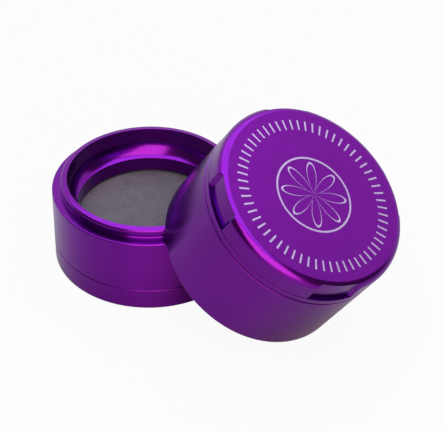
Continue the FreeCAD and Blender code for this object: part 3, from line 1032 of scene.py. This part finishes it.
class GRINDER_OT_lid(bpy.types.Operator):
    """Cap with a rounded edge and four finger notches"""
    bl_idname = "grinder.lid"
    bl_label = "Lid"

    def notch_cutter(self, standing, leaning):
        """Block with slanted ends that cuts one finger notch."""
        notch_r = standing.body_r - leaning.notch_deep
        beyond_r = standing.body_r + CLEAR
        shrink = leaning.notch_deep * math.tan(leaning.notch_slant) / standing.body_r
        floor_width = leaning.notch_width - 2 * shrink
        bm = outline([
            (notch_r, lean_low("lid") - CLEAR),
            (beyond_r, lean_low("lid") - CLEAR),
            (beyond_r, lean_high("lid") + CLEAR),
            (notch_r, lean_high("lid") + CLEAR),
        ])
        start = leaning.notch_turn - floor_width / 2
        spin(bm, floor_width, start, NOTCH_STEPS)
        bmesh.ops.holes_fill(bm, edges=[edge for edge in bm.edges if edge.is_boundary], sides=0)
        spread = (beyond_r - notch_r) * math.tan(leaning.notch_slant) / beyond_r
        for end, turn in ((start, -spread), (start + floor_width, spread)):
            place = Vector((math.cos(end), math.sin(end))) * beyond_r
            corners = [vertex for vertex in bm.verts if (vertex.co.to_2d() - place).length < MERGE]
            swing(bm, corners, turn)
        return bm

    def execute(self, context):
        standing = context.scene.grinder_standing
        leaning = context.scene.grinder_leaning
        bottom = lean_low("lid")
        top = lean_high("lid")
        ceiling = top - leaning.lid_top
        pan_r = standing.body_r - leaning.pan_wall
        rebate_r = radius("lid_slip_ring") + standing.ring_gap
        ring_top = lean_high("lid_slip_ring")
        boss_r = radius("lid_magnet") + leaning.boss_wall
        magnet_r = radius("lid_magnet") + leaning.magnet_fit
        cap = turned([
            (0, lean_high("lid_magnet")),
            (magnet_r, lean_high("lid_magnet")),
            (magnet_r, lean_low("lid_magnet")),
            (boss_r, lean_low("lid_magnet"), leaning.boss_round),
            (boss_r, ceiling, leaning.pan_round),
            (pan_r, ceiling, leaning.pan_round),
            (pan_r, ring_top),
            (rebate_r, ring_top),
            (rebate_r, bottom),
            (standing.body_r, bottom, standing.seam_round),
            (standing.body_r, top, leaning.lid_edge),
            (0, top),
        ])
        cap = carved(cap, around(self.notch_cutter(standing, leaning), leaning.notches))
        bmesh.ops.remove_doubles(cap, verts=cap.verts, dist=MERGE)
        notch_r = standing.body_r - leaning.notch_deep
        proud = [edge for edge in cap.edges
                 if len(edge.link_faces) == 2 and edge.calc_face_angle() > SHARP_ANGLE
                 and min(vertex.co.to_2d().length for vertex in edge.verts) > notch_r + MERGE
                 and min(vertex.co.z for vertex in edge.verts) > bottom + standing.seam_round - MERGE]
        chamfer(cap, proud, leaning.notch_edge)
        piece("lid_cap", cap, "lid", "lid", finish(anodised_aluminium, "lid"), leans=True)
        return {"FINISHED"}


class GRINDER_OT_stage(bpy.types.Operator):
    """Pale floor with its backdrop, soft light and the camera"""
    bl_idname = "grinder.stage"
    bl_label = "Stage"

    def lamp(self, name, place, turn, size, level):
        """Soft rectangular lamp in the colour of its name. Its face points down until it is turned."""
        light = bpy.data.lights.new(name, "AREA")
        light.shape = "RECTANGLE"
        light.size, light.size_y = size
        light.color = tone(name)[:3]
        # A flat lamp of radiance 1 gives pi watts from each square metre.
        light.energy = level * math.pi * size[0] * size[1]
        holder = bpy.data.objects.new(name, light)
        holder.location = place
        holder.rotation_euler = turn
        holder.visible_camera = False
        bpy.context.scene.collection.objects.link(holder)

    def sheet(self, name, bm, material):
        """Part of the stage."""
        paper = as_object(name, bm)
        paper.data.shade_smooth()
        paper.data.materials.append(material)

    def backdrop(self, stage):
        """Round floor, and a wall that curves up from it behind the object."""
        floor = bmesh.new()
        bmesh.ops.create_circle(floor, cap_ends=True, segments=TURN_STEPS, radius=stage.floor_r)
        laminate = finish(satin_white_laminate, "floor", stage.floor_white, stage.floor_mirrored)
        self.sheet("floor", floor, laminate)
        wall = bmesh.new()
        foot = wall.verts.new((stage.wall_r - stage.wall_round, 0, 0))
        curve = bmesh.ops.spin(wall, geom=[foot], cent=(foot.co.x, 0, stage.wall_round), axis=(0, -1, 0),
                               angle=math.pi / 2, steps=WIDE_STEPS, use_merge=False, use_duplicate=False)
        end = next(item for item in curve["geom_last"] if isinstance(item, bmesh.types.BMVert))
        wall.edges.new((end, wall.verts.new((stage.wall_r, 0, stage.wall_h))))
        spin(wall, stage.wall_sweep, stage.wall_start)
        laminate = finish(satin_white_laminate, "backdrop", stage.wall_white, stage.wall_white)
        self.sheet("backdrop", wall, laminate)

    def execute(self, context):
        scene = context.scene
        stage = scene.grinder_stage
        scene.view_settings.view_transform = "Standard"
        camera = bpy.data.cameras.new("camera")
        camera.lens = stage.lens
        camera.sensor_width = stage.sensor
        holder = bpy.data.objects.new("camera", camera)
        holder.matrix_world = (Matrix.Translation(stage.camera_place)
                               @ Matrix.Rotation(stage.camera_azimuth, 4, "Z")
                               @ Matrix.Rotation(math.pi / 2 - stage.camera_elevation, 4, "X")
                               @ Matrix.Rotation(stage.camera_roll, 4, "Z"))
        scene.collection.objects.link(holder)
        scene.camera = holder
        self.backdrop(stage)
        self.lamp("overhead", stage.overhead_place, (0, 0, stage.camera_azimuth), stage.overhead_size,
                  stage.overhead_level)
        to_object = Vector(stage.front_aim) - Vector(stage.front_place)
        facing = to_object.to_track_quat("-Z", "Y") @ Quaternion(UP, stage.front_roll)
        self.lamp("front", stage.front_place, facing.to_euler(), stage.front_size, stage.front_level)
        room = emptied(bpy.data.worlds.new("room"))
        scene.world = room
        glow = add(room, "Background", inputs={"Color": tone("room"), "Strength": stage.room_level})
        add(room, "OutputWorld", inputs={"Surface": glow.outputs[0]})
        return {"FINISHED"}


class GRINDER_PT_panel(bpy.types.Panel):
    """Lists the pieces in the order that they are made, and their sizes and colours"""
    bl_idname = "GRINDER_PT_panel"
    bl_label = "Hand grinder"
    bl_space_type = "VIEW_3D"
    bl_region_type = "UI"
    bl_category = "Grinder"

    def draw(self, context):
        for operator in OPERATORS:
            self.layout.operator(operator.bl_idname)
        for name, group in GROUPS.items():
            part = self.layout.box()
            part.label(text=group.__doc__)
            for key in group.__annotations__:
                part.prop(getattr(context.scene, name), key)


GROUPS = {
    "grinder_standing": StandingSizes,
    "grinder_leaning": LeaningSizes,
    "grinder_marks": LidMarks,
    "grinder_colours": FinishColours,
    "grinder_stage": StageSizes,
}
OPERATORS = (
    GRINDER_OT_stage,
    GRINDER_OT_tray,
    GRINDER_OT_sieve_chamber,
    GRINDER_OT_sieve,
    GRINDER_OT_slip_rings,
    GRINDER_OT_upper_chamber,
    GRINDER_OT_grind_plate,
    GRINDER_OT_teeth,
    GRINDER_OT_magnets,
    GRINDER_OT_lid,
)


def register():
    for group in GROUPS.values():
        bpy.utils.register_class(group)
    for name, group in GROUPS.items():
        setattr(bpy.types.Scene, name, PointerProperty(type=group))
    for cls in OPERATORS + (GRINDER_PT_panel,):
        bpy.utils.register_class(cls)


def unregister():
    for cls in reversed(OPERATORS + (GRINDER_PT_panel,)):
        bpy.utils.unregister_class(cls)
    for name, group in GROUPS.items():
        delattr(bpy.types.Scene, name)
        bpy.utils.unregister_class(group)


def main():
    register()
    bpy.ops.grinder.stage()
    bpy.ops.grinder.tray()
    bpy.ops.grinder.sieve_chamber()
    bpy.ops.grinder.sieve()
    bpy.ops.grinder.slip_rings()
    bpy.ops.grinder.upper_chamber()
    bpy.ops.grinder.grind_plate()
    bpy.ops.grinder.teeth()
    bpy.ops.grinder.magnets()
    bpy.ops.grinder.lid()


if __name__ == "__main__":
    main()
